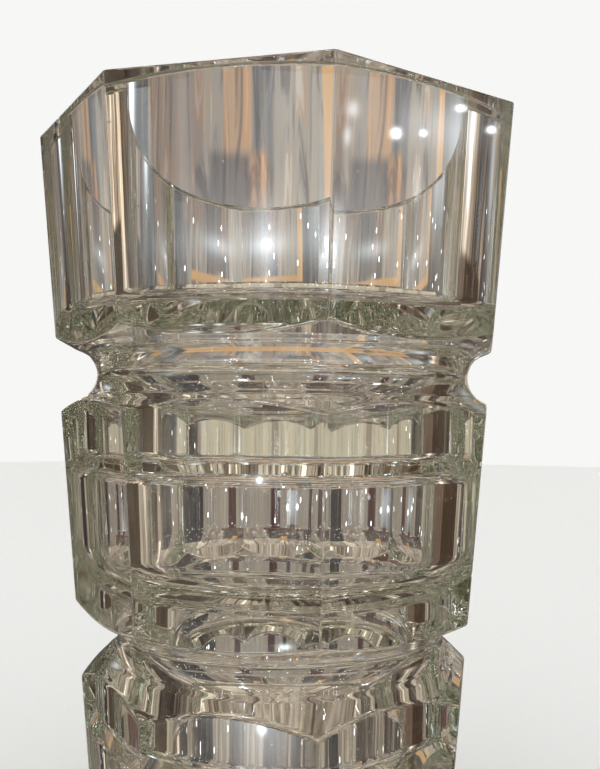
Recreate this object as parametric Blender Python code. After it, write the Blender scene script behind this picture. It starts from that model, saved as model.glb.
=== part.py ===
"""Cut crystal vase: one thick-walled octagonal body in three tiers.

The eight flat faces all lie on one slightly tapered frustum, wider at the rim than at the foot.
Two grooves, turned on a lathe right round the body, divide it into the tiers. The bore is round.
It widens inside each tier and narrows to a neck behind each groove, so that the wall follows the
outside. The body is one piece of crystal: an octagon blank, with two grooves and a bore cut in it.

Frame: metres, +Z up along the axis, origin at the middle of the flat foot. Flats face +-X and +-Y.
"""

import math

import bmesh
import bpy
from mathutils import Matrix, Vector

SIDES = 8
HEIGHT = 0.300
RIM_CORNER_RADIUS = 0.1020
TAPER = 0.0937  # how much the corner radius grows per metre of height
EDGE_BEVEL = 0.0010  # along the rim's and the foot's outer edges

TURNED_SEGMENTS = 64
ARC_STEP = math.radians(22.5)
SHARP_ANGLE = math.radians(25)
CLEAR_OF_FACES = 0.112  # a radius past every corner, where a groove's cutter ends
OVERSHOOT = 0.010  # how far the bore's cutter runs past the rim

# A groove's two cones leave the octagon's corners at the corner heights and run in to the lips,
# each a radius and a height, and a round scoop joins the lips.
UPPER_GROOVE = {
    "top_corner": 0.2170,
    "top_lip": (0.0803, 0.2093),
    "bottom_lip": (0.0808, 0.1940),
    "bottom_corner": 0.1873,
    "scoop_radius": 0.0103,
}
LOWER_GROOVE = {
    "top_corner": 0.1105,
    "top_lip": (0.0705, 0.1035),
    "bottom_lip": (0.0705, 0.0915),
    "bottom_corner": 0.0808,
    "scoop_radius": 0.0071,
}

# The bore from the rim down: a radius and a height at each bend, and the radius that rounds it.
BORE_BENDS = [
    (0.0860, HEIGHT, 0.0),
    (0.0815, 0.2265, 0.0070),
    (0.0650, 0.2165, 0.0060),
    (0.0650, 0.1715, 0.0050),
    (0.0735, 0.1650, 0.0060),
    (0.0715, 0.1280, 0.0120),
    (0.0560, 0.1200, 0.0040),
    (0.0560, 0.0650, 0.0050),
    (0.0640, 0.0570, 0.0060),
    (0.0620, 0.0160, 0.0100),
    (0.0, 0.0140, 0.0),
]


def corner_radius(z):
    """Distance from the axis to the octagon's corners at height z."""
    return RIM_CORNER_RADIUS + TAPER * (z - HEIGHT)


def arc(centre, start, end):
    """Points along the short way round a circle from start to end, in steps of ARC_STEP."""
    first = start - centre
    turn = first.angle_signed(end - centre)
    steps = max(2, round(abs(turn) / ARC_STEP))
    turns = [Matrix.Rotation(-turn * i / steps, 2) for i in range(steps + 1)]
    return [centre + rotation @ first for rotation in turns]


def fillet(before, corner, after, radius):
    """The arc that rounds the corner between two straight runs."""
    inward = (before - corner).normalized()
    outward = (after - corner).normalized()
    half = inward.angle(outward) / 2
    reach = radius / math.tan(half)
    centre = corner + (inward + outward).normalized() * (radius / math.sin(half))
    return arc(centre, corner + inward * reach, corner + outward * reach)


def cone_to_clear(lip, corner_z):
    """Where the cone from a lip through the octagon's corners has come clear of the faces."""
    slope = (corner_z - lip.y) / (corner_radius(corner_z) - lip.x)
    return Vector((CLEAR_OF_FACES, lip.y + slope * (CLEAR_OF_FACES - lip.x)))


def groove_outline(groove):
    """The closed outline of what one groove takes away, from its top to its bottom."""
    top, bottom = Vector(groove["top_lip"]), Vector(groove["bottom_lip"])
    chord = top - bottom
    depth = math.sqrt(groove["scoop_radius"] ** 2 - (chord.length / 2) ** 2)
    centre = (top + bottom) / 2 + Vector((chord.y, -chord.x)).normalized() * depth
    above = cone_to_clear(top, groove["top_corner"])
    below = cone_to_clear(bottom, groove["bottom_corner"])
    return [above, *arc(centre, top, bottom), below, above]


def bore_outline():
    """The bore's outline, from above the rim down to the middle of its floor."""
    bends = [Vector((r, z)) for r, z, rounding in BORE_BENDS]
    path = [Vector((0.0, HEIGHT + OVERSHOOT)), bends[0] + Vector((0.0, OVERSHOOT)), bends[0]]
    for i in range(1, len(bends) - 1):
        path.extend(fillet(bends[i - 1], bends[i], bends[i + 1], BORE_BENDS[i][2]))
    return [*path, bends[-1]]


def add_object(name, bm):
    """Turns a bmesh into an object in the scene."""
    mesh = bpy.data.meshes.new(name)
    bm.to_mesh(mesh)
    bm.free()
    made = bpy.data.objects.new(name, mesh)
    bpy.context.scene.collection.objects.link(made)
    return made


def turned_cutter(name, outline):
    """A cutter made by spinning an outline, closed or running from the axis to the axis."""
    bm = bmesh.new()
    points = [bm.verts.new((point.x, 0.0, point.y)) for point in outline]
    edges = [bm.edges.new(pair) for pair in zip(points, points[1:])]
    bmesh.ops.spin(
        bm, geom=points + edges, cent=(0, 0, 0), axis=(0, 0, 1),
        angle=math.tau, steps=TURNED_SEGMENTS, use_merge=True, use_duplicate=False,
    )
    bmesh.ops.remove_doubles(bm, verts=bm.verts, dist=1e-6)
    bmesh.ops.recalc_face_normals(bm, faces=bm.faces)
    cutter = add_object(name, bm)
    cutter.data.shade_smooth()
    cutter.data.set_sharp_from_angle(angle=SHARP_ANGLE)
    cutter.hide_render = True
    cutter.display_type = "WIRE"
    return cutter


def octagon_blank(name):
    """The tapered octagonal blank, with its flats square to X and Y and its end edges bevelled."""
    placed = Matrix.Translation((0, 0, HEIGHT / 2)) @ Matrix.Rotation(math.pi / SIDES, 4, "Z")
    bm = bmesh.new()
    bmesh.ops.create_cone(
        bm, cap_ends=True, segments=SIDES, matrix=placed,
        radius1=corner_radius(0), radius2=corner_radius(HEIGHT), depth=HEIGHT,
    )
    end_edges = [edge for edge in bm.edges if abs(edge.verts[0].co.z - edge.verts[1].co.z) < 1e-6]
    bmesh.ops.bevel(bm, geom=end_edges, offset=EDGE_BEVEL, segments=1, affect="EDGES")
    return add_object(name, bm)


def cut(body, cutter):
    """Adds a Boolean that takes the cutter out of the body."""
    boolean = body.modifiers.new(cutter.name, "BOOLEAN")
    boolean.operation = "DIFFERENCE"
    boolean.solver = "EXACT"
    boolean.object = cutter


def crystal():
    """Clear lead crystal with a very faint green cast."""
    material = bpy.data.materials.new("clear_crystal")
    material.use_nodes = True
    shader = material.node_tree.nodes["Principled BSDF"]
    shader.inputs["Base Color"].default_value = (0.93, 0.97, 0.94, 1.0)
    shader.inputs["Roughness"].default_value = 0.02
    shader.inputs["Metallic"].default_value = 0.0
    shader.inputs["IOR"].default_value = 1.54
    shader.inputs["Transmission Weight"].default_value = 1.0
    return material


def main():
    for old in list(bpy.data.objects):
        bpy.data.objects.remove(old, do_unlink=True)
    body = octagon_blank("crystal_body")
    cut(body, turned_cutter("upper_groove", groove_outline(UPPER_GROOVE)))
    cut(body, turned_cutter("lower_groove", groove_outline(LOWER_GROOVE)))
    cut(body, turned_cutter("bore", bore_outline()))
    body.data.materials.append(crystal())


main()
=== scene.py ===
"""The cut crystal vase as it looks: polished crystal on a plain pale stage.

The body is one closed mesh. Its outside is the surface where `outside` is zero: eight flat faces,
two turned grooves, a rim and a foot, met by softly polished edges. Its inside is a turned bore.

The stage's light is plain and even, but the crystal refracts and mirrors a room instead of it. The
room was fitted to one photograph of the vase, so it isn't studio light, and no export holds it.
"""

import math

import bpy
import numpy as np
from mathutils import Matrix, Vector


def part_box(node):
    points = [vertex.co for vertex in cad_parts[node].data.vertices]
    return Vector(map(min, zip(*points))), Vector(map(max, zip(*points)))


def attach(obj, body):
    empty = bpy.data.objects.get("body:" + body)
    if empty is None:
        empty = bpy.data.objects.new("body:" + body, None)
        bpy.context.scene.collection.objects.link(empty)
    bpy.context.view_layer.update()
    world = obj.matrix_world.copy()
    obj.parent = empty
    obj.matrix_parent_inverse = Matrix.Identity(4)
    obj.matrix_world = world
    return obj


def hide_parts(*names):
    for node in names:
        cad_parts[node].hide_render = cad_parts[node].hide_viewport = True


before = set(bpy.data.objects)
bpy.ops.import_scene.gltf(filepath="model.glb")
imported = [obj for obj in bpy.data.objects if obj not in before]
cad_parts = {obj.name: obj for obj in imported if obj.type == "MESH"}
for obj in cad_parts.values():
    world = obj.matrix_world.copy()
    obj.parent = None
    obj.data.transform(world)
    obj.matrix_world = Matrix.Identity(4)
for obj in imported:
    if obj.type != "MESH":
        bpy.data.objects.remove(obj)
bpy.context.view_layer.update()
LOW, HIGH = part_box("crystal_body")

# ---- the vase's driving sizes, in metres, as in the CAD ----
SIDES = 8
HEIGHT = HIGH[2] - LOW[2]
FLAT_TO_FLAT = HIGH[0] - LOW[0]
TAPER = 0.0937
CAD_BEVEL = 0.0010
HALF_SIDE = math.pi / SIDES
FACE_LEAN = TAPER * math.cos(HALF_SIDE)
RIM_APOTHEM = FLAT_TO_FLAT / 2 + CAD_BEVEL * FACE_LEAN

UPPER_GROOVE = {
    "top_corner": 0.2170,
    "top_lip": (0.0803, 0.2093),
    "bottom_lip": (0.0808, 0.1940),
    "bottom_corner": 0.1873,
    "scoop_radius": 0.0103,
}
LOWER_GROOVE = {
    "top_corner": 0.1105,
    "top_lip": (0.0705, 0.1035),
    "bottom_lip": (0.0705, 0.0915),
    "bottom_corner": 0.0808,
    "scoop_radius": 0.0071,
}
BORE_BENDS = [
    (0.0860, HEIGHT, 0.0009),
    (0.0815, 0.2265, 0.0070),
    (0.0650, 0.2165, 0.0060),
    (0.0650, 0.1715, 0.0050),
    (0.0735, 0.1650, 0.0060),
    (0.0715, 0.1280, 0.0120),
    (0.0560, 0.1200, 0.0040),
    (0.0560, 0.0650, 0.0050),
    (0.0640, 0.0570, 0.0060),
    (0.0620, 0.0160, 0.0100),
    (0.0, 0.0140, 0.0),
]

# ---- how the polished edges are rounded ----
VERTICAL_EDGE = 0.0005
GROOVE_EDGE = 0.0009
CREASE = 0.0008
END_EDGE = 0.0009

# ---- the crystal: its cast in thick parts, and its polish, with scales per metre and depths in metres ----
CLEAR = (0.985, 0.990, 0.985, 1.0)
IOR = 1.54
BOUNCES = 48
CAST = (0.815, 0.845, 0.785, 1.0)
CAST_DENSITY = 11.0
SWELL_SCALE = 45.0
SWELL_DEPTH = 0.00002
SPECK_SCALE = 160.0
SPECK_RADIUS = 0.07
SPECK_SHARE = 0.22
SPECK_DEPTH = 0.00006
SPECK_ROUGHNESS = 0.25
SMEAR_SCALE = 18.0
SMEAR_ROUGHNESS = 0.02

# ---- mesh density ----
LINES_PER_FACE = 36
CORNER_CROWDING = 1.8
GROOVE_STEP = 0.0004
ARC_STEP = math.radians(5)
END_LINES = 9  # over each rounded end
TIER_LINES = 8  # over each tier's flat faces

# ---- how the outside is found: radii that lie in the glass and outside it at every height ----
IN_GLASS = 0.04
CLEAR_OF_GLASS = 0.12
HALVINGS = 40
SLOPE_STEP = 2e-6


def corner_radius(z):
    """Distance from the axis to the octagon's sharp corners at height z."""
    return (RIM_APOTHEM + FACE_LEAN * (z - HEIGHT)) / math.cos(HALF_SIDE)


def soft_max(a, b, width):
    """The larger of a and b, blended where they differ by less than width."""
    h = np.maximum(width - np.abs(a - b), 0.0) / width
    return np.maximum(a, b) + h * h * width / 4


def beyond_faces(x, y, z):
    """Signed distance out through the eight faces, whose corners are softly rounded."""
    turn = np.arctan2(y, x) % (2 * HALF_SIDE)
    off = np.minimum(turn, 2 * HALF_SIDE - turn)
    r = np.hypot(x, y)
    apothem = RIM_APOTHEM + FACE_LEAN * (z - HEIGHT)
    nearest = r * np.cos(off) - apothem
    next_one = r * np.cos(2 * HALF_SIDE - off) - apothem
    return soft_max(nearest, next_one, VERTICAL_EDGE) / math.hypot(1.0, FACE_LEAN)


def in_groove(r, z, groove):
    """Signed distance into what the groove takes away: the space between its cones, or its scoop."""
    (top_r, top_z), (low_r, low_z) = groove["top_lip"], groove["bottom_lip"]
    top_slope = (groove["top_corner"] - top_z) / (corner_radius(groove["top_corner"]) - top_r)
    low_slope = (low_z - groove["bottom_corner"]) / (corner_radius(groove["bottom_corner"]) - low_r)
    under_top = (top_z + top_slope * (r - top_r) - z) / math.hypot(1.0, top_slope)
    over_low = (z - low_z + low_slope * (r - low_r)) / math.hypot(1.0, low_slope)
    chord_r, chord_z = top_r - low_r, top_z - low_z
    chord = math.hypot(chord_r, chord_z)
    past_lips = ((r - low_r) * chord_z - (z - low_z) * chord_r) / chord
    wedge = np.minimum(np.minimum(under_top, over_low), past_lips)
    depth = math.sqrt(groove["scoop_radius"] ** 2 - (chord / 2) ** 2)
    centre_r = (top_r + low_r) / 2 + chord_z / chord * depth
    centre_z = (top_z + low_z) / 2 - chord_r / chord * depth
    scoop = groove["scoop_radius"] - np.hypot(r - centre_r, z - centre_z)
    return soft_max(wedge, scoop, CREASE)


def outside(x, y, z):
    """Above zero outside the cut body, below it in the glass or the bore."""
    r = np.hypot(x, y)
    gap = beyond_faces(x, y, z)
    for groove in (UPPER_GROOVE, LOWER_GROOVE):
        gap = soft_max(gap, in_groove(r, z, groove), GROOVE_EDGE)
    gap = soft_max(gap, z - HEIGHT, END_EDGE)
    return soft_max(gap, -z, END_EDGE)


def angles():
    """The mesh's angles round the axis, crowded towards the octagon's corners."""
    steps = np.linspace(-1, 1, LINES_PER_FACE + 1)[:-1]
    across = np.sign(steps) * np.abs(steps) ** CORNER_CROWDING * HALF_SIDE
    return np.concatenate([across + HALF_SIDE * (2 * side + 1) for side in range(SIDES)])


def outer_heights():
    """The heights of the outside's lines, from foot to rim, dense in the grooves and at the ends."""
    ease = 1 - np.cos(np.linspace(0, math.pi / 2, END_LINES))
    spans = [ease * END_EDGE]
    bottom = END_EDGE
    for groove in (LOWER_GROOVE, UPPER_GROOVE):
        start = groove["bottom_corner"] - 2 * GROOVE_EDGE
        end = groove["top_corner"] + 2 * GROOVE_EDGE
        spans.append(np.linspace(bottom, start, TIER_LINES)[1:-1])
        spans.append(np.arange(start, end, GROOVE_STEP))
        bottom = end
    spans.append(np.linspace(bottom, HEIGHT - END_EDGE, TIER_LINES)[:-1])
    spans.append(HEIGHT - ease[::-1] * END_EDGE)
    return np.concatenate(spans)


def outer_surface(theta):
    """Points and normals of the outside, one row for each height."""
    z = np.repeat(outer_heights()[:, None], len(theta), axis=1)
    cos, sin = np.cos(theta)[None, :], np.sin(theta)[None, :]
    near, far = np.full_like(z, IN_GLASS), np.full_like(z, CLEAR_OF_GLASS)
    for _ in range(HALVINGS):
        middle = (near + far) / 2
        out = outside(middle * cos, middle * sin, z) > 0
        far = np.where(out, middle, far)
        near = np.where(out, near, middle)
    points = np.stack([near * cos, near * sin, z], axis=-1)
    slopes = []
    for step in np.eye(3) * SLOPE_STEP:
        ahead, behind = np.moveaxis(points + step, -1, 0), np.moveaxis(points - step, -1, 0)
        slopes.append(outside(*ahead) - outside(*behind))
    normals = np.stack(slopes, axis=-1)
    return points, normals / np.linalg.norm(normals, axis=-1, keepdims=True)


def bore_path():
    """The bore's outline from the rim's flat to the floor: rows of radius, height and normal."""
    bends = [Vector((r, z)) for r, z, rounding in BORE_BENDS]
    bends.insert(0, bends[0] + Vector((0.01, 0)))
    path = []
    for before, corner, after, bend in zip(bends, bends[1:], bends[2:], BORE_BENDS):
        inward, outward = (before - corner).normalized(), (after - corner).normalized()
        rounding = bend[2]
        half = inward.angle(outward) / 2
        reach = rounding / math.tan(half)
        centre = corner + (inward + outward).normalized() * (rounding / math.sin(half))
        spoke = corner + inward * reach - centre
        turn = spoke.angle_signed(corner + outward * reach - centre)
        into_bore = -math.copysign(1.0, turn)
        steps = max(3, round(abs(turn) / ARC_STEP))
        for i in range(steps + 1):
            turned = Matrix.Rotation(-turn * i / steps, 2) @ spoke
            path.append((*(centre + turned), *(turned.normalized() * into_bore)))
    return np.array(path)


def turned_surface(path, theta):
    """Points and normals of a turned outline, one row for each of its points."""
    r, z, across, up = (path[:, i][:, None] for i in range(4))
    cos, sin = np.cos(theta)[None, :], np.sin(theta)[None, :]
    points = np.stack([r * cos, r * sin, z + 0 * cos], axis=-1)
    normals = np.stack([across * cos, across * sin, up + 0 * cos], axis=-1)
    return points, normals


def crystal_mesh():
    """The whole closed body: up the outside, over the rim and down the bore."""
    theta = angles()
    outer_points, outer_normals = outer_surface(theta)
    bore_points, bore_normals = turned_surface(bore_path(), theta)
    points = np.concatenate([outer_points, bore_points])
    normals = np.concatenate([outer_normals, bore_normals])
    rows, lines = points.shape[:2]
    at = np.arange(rows * lines).reshape(rows, lines)
    nxt = np.roll(at, -1, axis=1)
    quads = np.stack([at[:-1], nxt[:-1], nxt[1:], at[1:]], axis=-1).reshape(-1, 4)
    foot_centre, floor_centre = rows * lines, rows * lines + 1
    foot_fan = [(foot_centre, b, a) for a, b in zip(at[0], nxt[0])]
    floor_fan = [(floor_centre, a, b) for a, b in zip(at[-1], nxt[-1])]
    verts = np.concatenate([points.reshape(-1, 3), [(0, 0, 0), (0, 0, BORE_BENDS[-1][1])]])
    all_normals = np.concatenate([normals.reshape(-1, 3), [(0, 0, -1), (0, 0, 1)]])
    mesh = bpy.data.meshes.new("cut_crystal")
    mesh.from_pydata(verts.tolist(), [], [*quads.tolist(), *foot_fan, *floor_fan])
    mesh.shade_smooth()
    mesh.normals_split_custom_set_from_vertices(all_normals.tolist())
    return mesh


class Nodes:
    """Short ways to add shader nodes: every input is a number, a colour or another node's output."""

    def __init__(self, tree):
        self.tree = tree

    def add(self, kind, inputs=(), **settings):
        node = self.tree.nodes.new(kind)
        for name, value in settings.items():
            setattr(node, name, value)
        for key, value in dict(inputs).items():
            if isinstance(value, bpy.types.NodeSocket):
                self.tree.links.new(value, node.inputs[key])
            else:
                node.inputs[key].default_value = value
        return node

    def math(self, operation, *values):
        return self.add("ShaderNodeMath", enumerate(values), operation=operation).outputs[0]

    def join(self, x, y):
        return self.add("ShaderNodeCombineXYZ", {0: x, 1: y}).outputs[0]

    def mix(self, factor, first, second, blend="MIX"):
        inputs = {0: factor, 6: first, 7: second}
        node = self.add("ShaderNodeMix", inputs, data_type="RGBA", blend_type=blend)
        return node.outputs[2]

    def band(self, value, low, high, blur):
        """1 where value lies between low and high, fading to 0 over blur on both sides."""
        off = self.math("ABSOLUTE", self.math("SUBTRACT", value, (low + high) / 2))
        span = {"Value": off, "From Min": (high - low) / 2, "From Max": (high - low) / 2 + blur,
                "To Min": 1.0, "To Max": 0.0}
        return self.add("ShaderNodeMapRange", span, interpolation_type="SMOOTHSTEP").outputs[0]

    def ramp(self, value, stops, interpolation="LINEAR"):
        node = self.add("ShaderNodeValToRGB", {0: value})
        node.color_ramp.interpolation = interpolation
        elements = node.color_ramp.elements
        while len(elements) < len(stops):
            elements.new(1.0)
        for element, (position, colour) in zip(elements, stops):
            element.position = position
            element.color = colour
        return node.outputs[0]


def crystal_surface(nodes):
    """The polish's roughness and bump: a slow swell, faint smears, and specks of dried water."""
    place = nodes.add("ShaderNodeTexCoord").outputs["Object"]
    waves = {"Vector": place, "Scale": SWELL_SCALE, "Detail": 1.0}
    swell = nodes.add("ShaderNodeTexNoise", waves).outputs[0]
    cells = nodes.add("ShaderNodeTexVoronoi", {"Vector": place, "Scale": SPECK_SCALE}).outputs
    number = nodes.add("ShaderNodeSeparateColor", {0: cells["Color"]}).outputs[0]
    dome = nodes.band(cells["Distance"], 0.0, 0.0, SPECK_RADIUS)
    specks = nodes.math("MULTIPLY", dome, nodes.math("LESS_THAN", number, SPECK_SHARE))
    height = nodes.math("MULTIPLY", swell, SWELL_DEPTH)
    height = nodes.math("MULTIPLY_ADD", specks, SPECK_DEPTH, height)
    bump = nodes.add("ShaderNodeBump", {"Height": height, "Strength": 1.0, "Distance": 1.0}).outputs[0]

    clouds = {"Vector": place, "Scale": SMEAR_SCALE, "Detail": 3.0}
    smears = nodes.add("ShaderNodeTexNoise", clouds).outputs[0]
    spread = {"Value": smears, "From Min": 0.5, "From Max": 0.7, "To Min": 0.0, "To Max": SMEAR_ROUGHNESS}
    smeared = nodes.add("ShaderNodeMapRange", spread).outputs[0]
    roughness = nodes.math("MULTIPLY_ADD", specks, SPECK_ROUGHNESS, smeared)
    return roughness, bump


def crystal_material():
    """Polished lead crystal: clear, with a green cast that shows in its thick parts."""
    material = bpy.data.materials.new("clear_crystal")
    material.use_nodes = True
    tree = material.node_tree
    shader = tree.nodes["Principled BSDF"]
    shader.inputs["Base Color"].default_value = CLEAR
    shader.inputs["IOR"].default_value = IOR
    shader.inputs["Transmission Weight"].default_value = 1.0
    nodes = Nodes(tree)
    roughness, bump = crystal_surface(nodes)
    tree.links.new(roughness, shader.inputs["Roughness"])
    tree.links.new(bump, shader.inputs["Normal"])
    cast = nodes.add("ShaderNodeVolumeAbsorption", {"Color": CAST, "Density": CAST_DENSITY}).outputs[0]
    tree.links.new(cast, tree.nodes["Material Output"].inputs["Volume"])
    return material


def make_vase():
    vase = bpy.data.objects.new("cut_crystal_vase", crystal_mesh())
    bpy.context.scene.collection.objects.link(vase)
    vase.data.materials.append(crystal_material())
    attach(vase, "root")
    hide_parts("crystal_body")
    return vase


# ---- the camera: where the photographer stood ----
CAMERA_AZIMUTH = math.radians(12.6)
CAMERA_DISTANCE = 0.35
CAMERA_HEIGHT = 0.1862
CAMERA_TILT = math.radians(2.18)
CAMERA_ROLL = math.radians(0.5)
CAMERA_ASIDE = 0.0206 * CAMERA_DISTANCE
FOCAL_LENGTH = 38.4
SENSOR = 36.0


def make_camera():
    forward = Vector((-math.sin(CAMERA_AZIMUTH), math.cos(CAMERA_AZIMUTH), 0))
    right = Vector((math.cos(CAMERA_AZIMUTH), math.sin(CAMERA_AZIMUTH), 0))
    place = right * CAMERA_ASIDE - forward * CAMERA_DISTANCE + Vector((0, 0, CAMERA_HEIGHT))
    level = Matrix((right, Vector((0, 0, 1)), -forward)).transposed()
    turned = level @ Matrix.Rotation(CAMERA_TILT, 3, "X") @ Matrix.Rotation(CAMERA_ROLL, 3, "Z")
    data = bpy.data.cameras.new("camera")
    data.lens = FOCAL_LENGTH
    data.sensor_width = SENSOR
    data.clip_start = 0.01
    camera = bpy.data.objects.new("camera", data)
    camera.matrix_world = Matrix.Translation(place) @ turned.to_4x4()
    bpy.context.scene.collection.objects.link(camera)
    bpy.context.scene.camera = camera


# ---- the studio: a pale floor and air ----
PALE = (0.93, 0.93, 0.92, 1.0)
FLOOR_RADIUS = 3.0
FLOOR_SIDES = 64
FLOOR_DROP = 0.0001
FLOOR_ROUGHNESS = 0.8

# ---- the room that the crystal gathers and bends, in degrees right of the view and above it ----
# Its places, tints and brightnesses were fitted to the refractions and highlights in the photograph.
# Nothing there vouches for what it shows in any other view.
WOOD = (0.60, 0.33, 0.12, 1)
PANEL_SIZE = (19.0, 28.0)
PANEL_JOINT = (0.10, 0.07, 0.055, 1)
DARK_PANEL = (0.060, 0.048, 0.043, 1)
LIGHT_PANEL = (0.680, 0.600, 0.500, 1)

# Tints of the room's upright streaks and of its wood's grain, along a noise from 0 to 1. Each noise
# has a scale across, and how much it is stretched upwards.
STREAK_NOISE = (0.07, 0.3)
STREAKS = [
    (0.32, (0.08, 0.06, 0.05, 1)),
    (0.41, (0.46, 0.40, 0.36, 1)),
    (0.48, (1.00, 0.98, 0.94, 1)),
    (0.54, (0.45, 0.40, 0.37, 1)),
    (0.60, (1.20, 1.17, 1.12, 1)),
    (0.70, (3.20, 3.17, 3.10, 1)),
]
GRAIN_NOISE = (0.45, 0.22)
GRAIN = [
    (0.34, (0.40, 0.33, 0.30, 1)),
    (0.46, (0.95, 0.93, 0.92, 1)),
    (0.56, (1.05, 1.02, 0.98, 1)),
    (0.62, (1.25, 0.90, 0.56, 1)),
    (0.68, (1.50, 1.50, 1.50, 1)),
]
GRAIN_ABOVE = 9.0
GRAIN_BELOW_THAT = 0.35

# What stands behind the vase: left, right, bottom and top edges, and a colour.
FURNISHING_BLUR = 1.0
FURNISHINGS = [
    # a pale wall and its lower part
    (-24.0, 30.0, 1.5, 7.5, (0.600, 0.540, 0.410, 1)),
    (-15.0, 27.0, -11.5, 0.5, (0.300, 0.265, 0.225, 1)),
    # a post's pale top and maroon foot, two dark posts, a cabinet, a maroon shelf, a wooden drawer
    (3.0, 6.5, 1.5, 7.5, (0.380, 0.310, 0.240, 1)),
    (2.5, 7.0, -12.0, 0.5, (0.070, 0.030, 0.030, 1)),
    (14.3, 16.2, -12.0, 0.5, (0.030, 0.035, 0.045, 1)),
    (26.0, 30.0, -20.0, 0.5, (0.060, 0.048, 0.045, 1)),
    (-33.0, -17.0, -30.0, 0.5, (0.028, 0.026, 0.030, 1)),
    (-2.0, 24.0, -14.0, -12.0, (0.130, 0.065, 0.055, 1)),
    (8.0, 11.0, -33.0, -24.0, (0.520, 0.290, 0.110, 1)),
    # dark side walls
    (-80.0, -47.0, -30.0, 11.0, (0.075, 0.055, 0.038, 1)),
    (50.0, 76.0, -30.0, 9.0, (0.065, 0.040, 0.026, 1)),
    (76.0, 92.0, -30.0, 9.0, (0.160, 0.110, 0.080, 1)),
    # the upper wall's panels from left to right, with a dark thing and a wooden one before them
    (-26.0, -9.5, 15.0, 60.0, (0.210, 0.150, 0.110, 1)),
    (-9.5, -5.0, 17.5, 60.0, (0.270, 0.230, 0.190, 1)),
    (-5.0, 1.2, 18.5, 60.0, (0.420, 0.260, 0.140, 1)),
    (1.2, 5.4, 18.5, 60.0, (0.150, 0.140, 0.140, 1)),
    (5.4, 16.0, 11.5, 60.0, (0.330, 0.280, 0.225, 1)),
    (-8.0, 3.0, 12.0, 18.2, (0.130, 0.095, 0.072, 1)),
    (0.4, 2.8, 13.5, 18.4, (0.420, 0.240, 0.120, 1)),
]
WOODWORK_BLUR = 0.3
WOODWORK = [
    (-30.0, 32.0, 25.0, 29.0, WOOD),
    (-21.0, 18.4, 10.8, 11.2, WOOD),
    (15.8, 18.4, 10.8, 80.0, WOOD),
]

# Lights: where the middle is, how wide and how tall, and brightness.
LIGHTS = [
    # haze and windows behind the vase
    (-2.5, 13.5, 24.0, 3.5, 0.16),
    (-2.5, 13.5, 9.0, 0.6, 0.4),
    (0.0, 22.0, 45.0, 10.0, 0.14),
    (0.0, -30.0, 60.0, 14.0, 0.04),
    (-42.0, 21.5, 3.5, 4.5, 3.0),
    (30.0, 18.0, 10.0, 4.0, 0.6),
    # windows beside the vase and behind the viewer
    (80.0, 19.0, 4.0, 6.0, 0.9),
    (-112.0, 16.0, 10.0, 14.0, 1.8),
    (158.0, 22.0, 12.0, 14.0, 1.8),
    # a pair of lamps behind the vase, with their glare
    (12.0, -4.3, 0.5, 0.15, 9.0),
    (18.0, -4.3, 0.5, 0.15, 9.0),
    (15.0, -4.0, 3.0, 1.5, 0.5),
    # the lamps that the front face mirrors in the top tier: cores, and glare up, down and sideways
    (-152.7, 2.4, 0.16, 0.16, 140.0),
    (-152.7, 2.4, 0.8, 2.4, 9.0),
    (-152.7, 2.4, 7.0, 1.2, 2.6),
    (-157.0, 2.1, 0.2, 0.3, 60.0),
    (-157.4, 2.1, 0.9, 2.4, 13.0),
    (113.9, 3.4, 0.2, 0.3, 60.0),
    (113.9, 3.4, 0.9, 2.4, 13.0),
    # those that it mirrors in the lower tiers
    (-151.6, -14.0, 0.2, 0.2, 40.0),
    (-151.6, -14.0, 0.8, 0.5, 4.0),
    (-153.0, -25.2, 0.4, 0.2, 25.0),
    (-152.2, -27.5, 1.0, 0.3, 14.0),
    (-151.1, -29.9, 0.3, 0.4, 50.0),
    (-151.1, -29.5, 2.6, 3.0, 7.0),
    (-152.0, -28.0, 9.0, 1.0, 3.5),
    # a cluster that the next face mirrors near the rim
    (104.0, 12.0, 0.25, 0.2, 40.0),
    (106.2, 13.2, 0.30, 0.2, 40.0),
    (108.4, 11.5, 0.25, 0.2, 30.0),
    (110.3, 11.3, 0.30, 0.3, 50.0),
    (107.5, 12.0, 3.0, 1.5, 4.0),
    (113.3, 12.6, 0.4, 0.5, 9.0),
    (113.5, 10.9, 0.3, 0.6, 8.0),
    # two high lamps that glint in the grooves
    (-153.0, 46.0, 3.0, 3.0, 60.0),
    (108.0, 46.0, 2.0, 2.0, 60.0),
]
# Small scattered lamps: cell and radius in degrees, share of cells lit, brightness, how far to
# either side they reach, lowest and highest.
LAMP_FIELDS = [
    (2.2, 0.12, 0.14, 8.0, 42.0, -60.0, 14.5),
    (7.0, 0.35, 0.30, 40.0, 180.0, 38.0, 58.0),
    (5.0, 0.24, 0.35, 30.0, 180.0, 58.0, 88.0),
]
LAMP_COLOUR = (0.86, 0.94, 1.0)


def glow(nodes, across, above, light):
    """Brightness of one light, fading softly round its middle."""
    bearing, height, wide, tall, brightness = light
    aside = nodes.math("WRAP", nodes.math("SUBTRACT", across, bearing), 180.0, -180.0)
    aside = nodes.math("POWER", nodes.math("DIVIDE", nodes.math("ABSOLUTE", aside), wide), 2.0)
    up = nodes.math("ABSOLUTE", nodes.math("SUBTRACT", above, height))
    up = nodes.math("POWER", nodes.math("DIVIDE", up, tall), 2.0)
    fall = nodes.math("EXPONENT", nodes.math("MULTIPLY", nodes.math("ADD", aside, up), -1.0))
    return nodes.math("MULTIPLY", fall, brightness)


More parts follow.
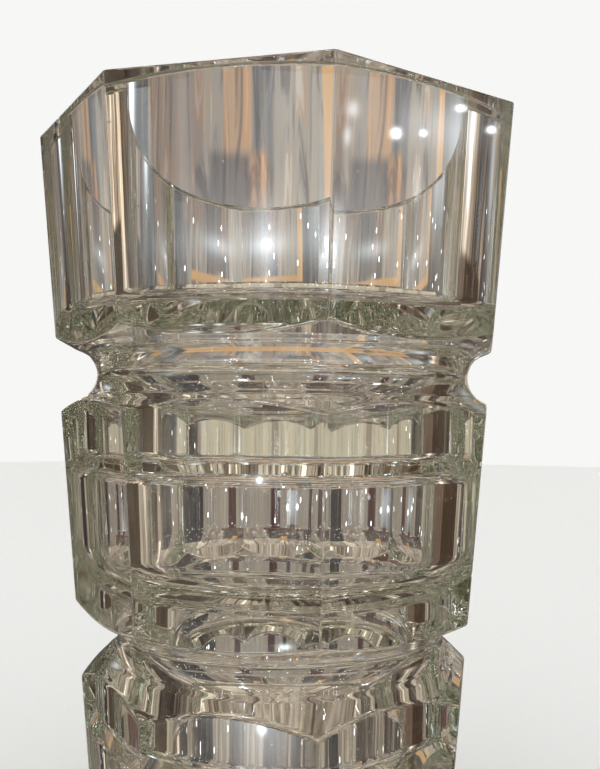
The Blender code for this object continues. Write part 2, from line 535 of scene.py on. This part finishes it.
def lamp_field(nodes, across, above, field):
    """Brightness of small round lamps scattered between two heights."""
    cell, radius, share, brightness, reach, lowest, highest = field
    grid = {"Vector": nodes.join(across, above), "Scale": 1 / cell}
    cells = nodes.add("ShaderNodeTexVoronoi", grid, voronoi_dimensions="2D").outputs
    disc = nodes.band(cells["Distance"], 0.0, radius / cell, radius / cell)
    number = nodes.add("ShaderNodeSeparateColor", {0: cells["Color"]}).outputs[0]
    lit = nodes.math("MULTIPLY", disc, nodes.math("LESS_THAN", number, share))
    lit = nodes.math("MULTIPLY", lit, nodes.band(above, lowest, highest, 2.0))
    lit = nodes.math("MULTIPLY", lit, nodes.band(across, -reach, reach, 2.0))
    return nodes.math("MULTIPLY", lit, brightness)


def furnish(nodes, across, above, colour, things, blur):
    """Paints upright rectangles over a colour, with edges that blur outwards."""
    for left, right, bottom, top, paint in things:
        beside = nodes.band(across, left, right, blur)
        inside = nodes.math("MULTIPLY", beside, nodes.band(above, bottom, top, blur))
        colour = nodes.mix(inside, colour, paint)
    return colour


def upright_noise(nodes, across, above, scale, stretch):
    """A noise drawn out upwards, like curtains or the grain of upright boards."""
    tall = nodes.join(across, nodes.math("MULTIPLY", above, stretch))
    noise = {"Vector": tall, "Scale": scale, "Detail": 4.0, "Roughness": 0.6, "Distortion": 0.6}
    return nodes.add("ShaderNodeTexNoise", noise, noise_dimensions="2D").outputs[0]


def room_colour(nodes):
    """What surrounds the vase: panels, furnishings, a wooden frame, windows and small lamps."""
    direction = nodes.add("ShaderNodeTexCoord").outputs["Generated"]
    turn = {"Vector": direction, "Angle": -CAMERA_AZIMUTH}
    turned = nodes.add("ShaderNodeVectorRotate", turn, rotation_type="Z_AXIS").outputs[0]
    parts = nodes.add("ShaderNodeSeparateXYZ", {0: turned}).outputs
    across = nodes.math("DEGREES", nodes.math("ARCTAN2", parts[0], parts[1]))
    above = nodes.math("DEGREES", nodes.math("ARCSINE", parts[2]))

    panels = nodes.add(
        "ShaderNodeTexBrick",
        {"Vector": nodes.join(across, above), "Color1": DARK_PANEL, "Color2": LIGHT_PANEL,
         "Mortar": PANEL_JOINT, "Scale": 1.0, "Mortar Size": 0.9, "Mortar Smooth": 1.0,
         "Brick Width": PANEL_SIZE[0], "Row Height": PANEL_SIZE[1]},
    ).outputs[0]
    streaks = upright_noise(nodes, across, above, *STREAK_NOISE)
    grain = upright_noise(nodes, across, above, *GRAIN_NOISE)
    grained = nodes.math("MAXIMUM", nodes.band(above, GRAIN_ABOVE, 90.0, 3.0), GRAIN_BELOW_THAT)
    colour = nodes.mix(1.0, panels, nodes.ramp(streaks, STREAKS), "MULTIPLY")
    colour = furnish(nodes, across, above, colour, FURNISHINGS, FURNISHING_BLUR)
    colour = nodes.mix(grained, colour, nodes.ramp(grain, GRAIN), "MULTIPLY")
    colour = furnish(nodes, across, above, colour, WOODWORK, WOODWORK_BLUR)

    light = 0.0
    for lamp in LIGHTS:
        light = nodes.math("ADD", light, glow(nodes, across, above, lamp))
    for field in LAMP_FIELDS:
        light = nodes.math("ADD", light, lamp_field(nodes, across, above, field))
    lit = {0: LAMP_COLOUR, "Scale": light}
    lamps = nodes.add("ShaderNodeVectorMath", lit, operation="SCALE").outputs[0]
    return nodes.mix(1.0, colour, lamps, "ADD")


def make_room():
    """Lights the stage evenly. Refractions and glossy reflections see the room instead."""
    world = bpy.data.worlds.new("room")
    bpy.context.scene.world = world
    world.use_nodes = True
    nodes = Nodes(world.node_tree)
    background = world.node_tree.nodes["Background"]
    path = nodes.add("ShaderNodeLightPath").outputs
    by_crystal = nodes.math("MAXIMUM", path["Is Transmission Ray"], path["Is Glossy Ray"])
    seen = nodes.mix(by_crystal, PALE, room_colour(nodes))
    world.node_tree.links.new(seen, background.inputs["Color"])
    background.inputs["Strength"].default_value = 1.0


def make_floor():
    """A pale round floor, just under the foot, which the crystal neither refracts nor mirrors."""
    mesh = bpy.data.meshes.new("floor")
    turns = [i * math.tau / FLOOR_SIDES for i in range(FLOOR_SIDES)]
    rim = [(FLOOR_RADIUS * math.cos(turn), FLOOR_RADIUS * math.sin(turn), 0) for turn in turns]
    mesh.from_pydata(rim, [], [range(FLOOR_SIDES)])
    floor = bpy.data.objects.new("floor", mesh)
    bpy.context.scene.collection.objects.link(floor)
    floor.location.z = -FLOOR_DROP
    floor.visible_transmission = False
    floor.visible_glossy = False
    material = bpy.data.materials.new("pale_floor")
    material.use_nodes = True
    shader = material.node_tree.nodes["Principled BSDF"]
    shader.inputs["Base Color"].default_value = PALE
    shader.inputs["Roughness"].default_value = FLOOR_ROUGHNESS
    mesh.materials.append(material)


make_vase()
make_camera()
make_floor()
make_room()

# Light turns many corners inside thick crystal before it leaves.
cycles = bpy.context.scene.cycles
cycles.max_bounces = BOUNCES
cycles.transmission_bounces = BOUNCES
cycles.glossy_bounces = BOUNCES
bpy.context.scene.view_settings.view_transform = "Standard"
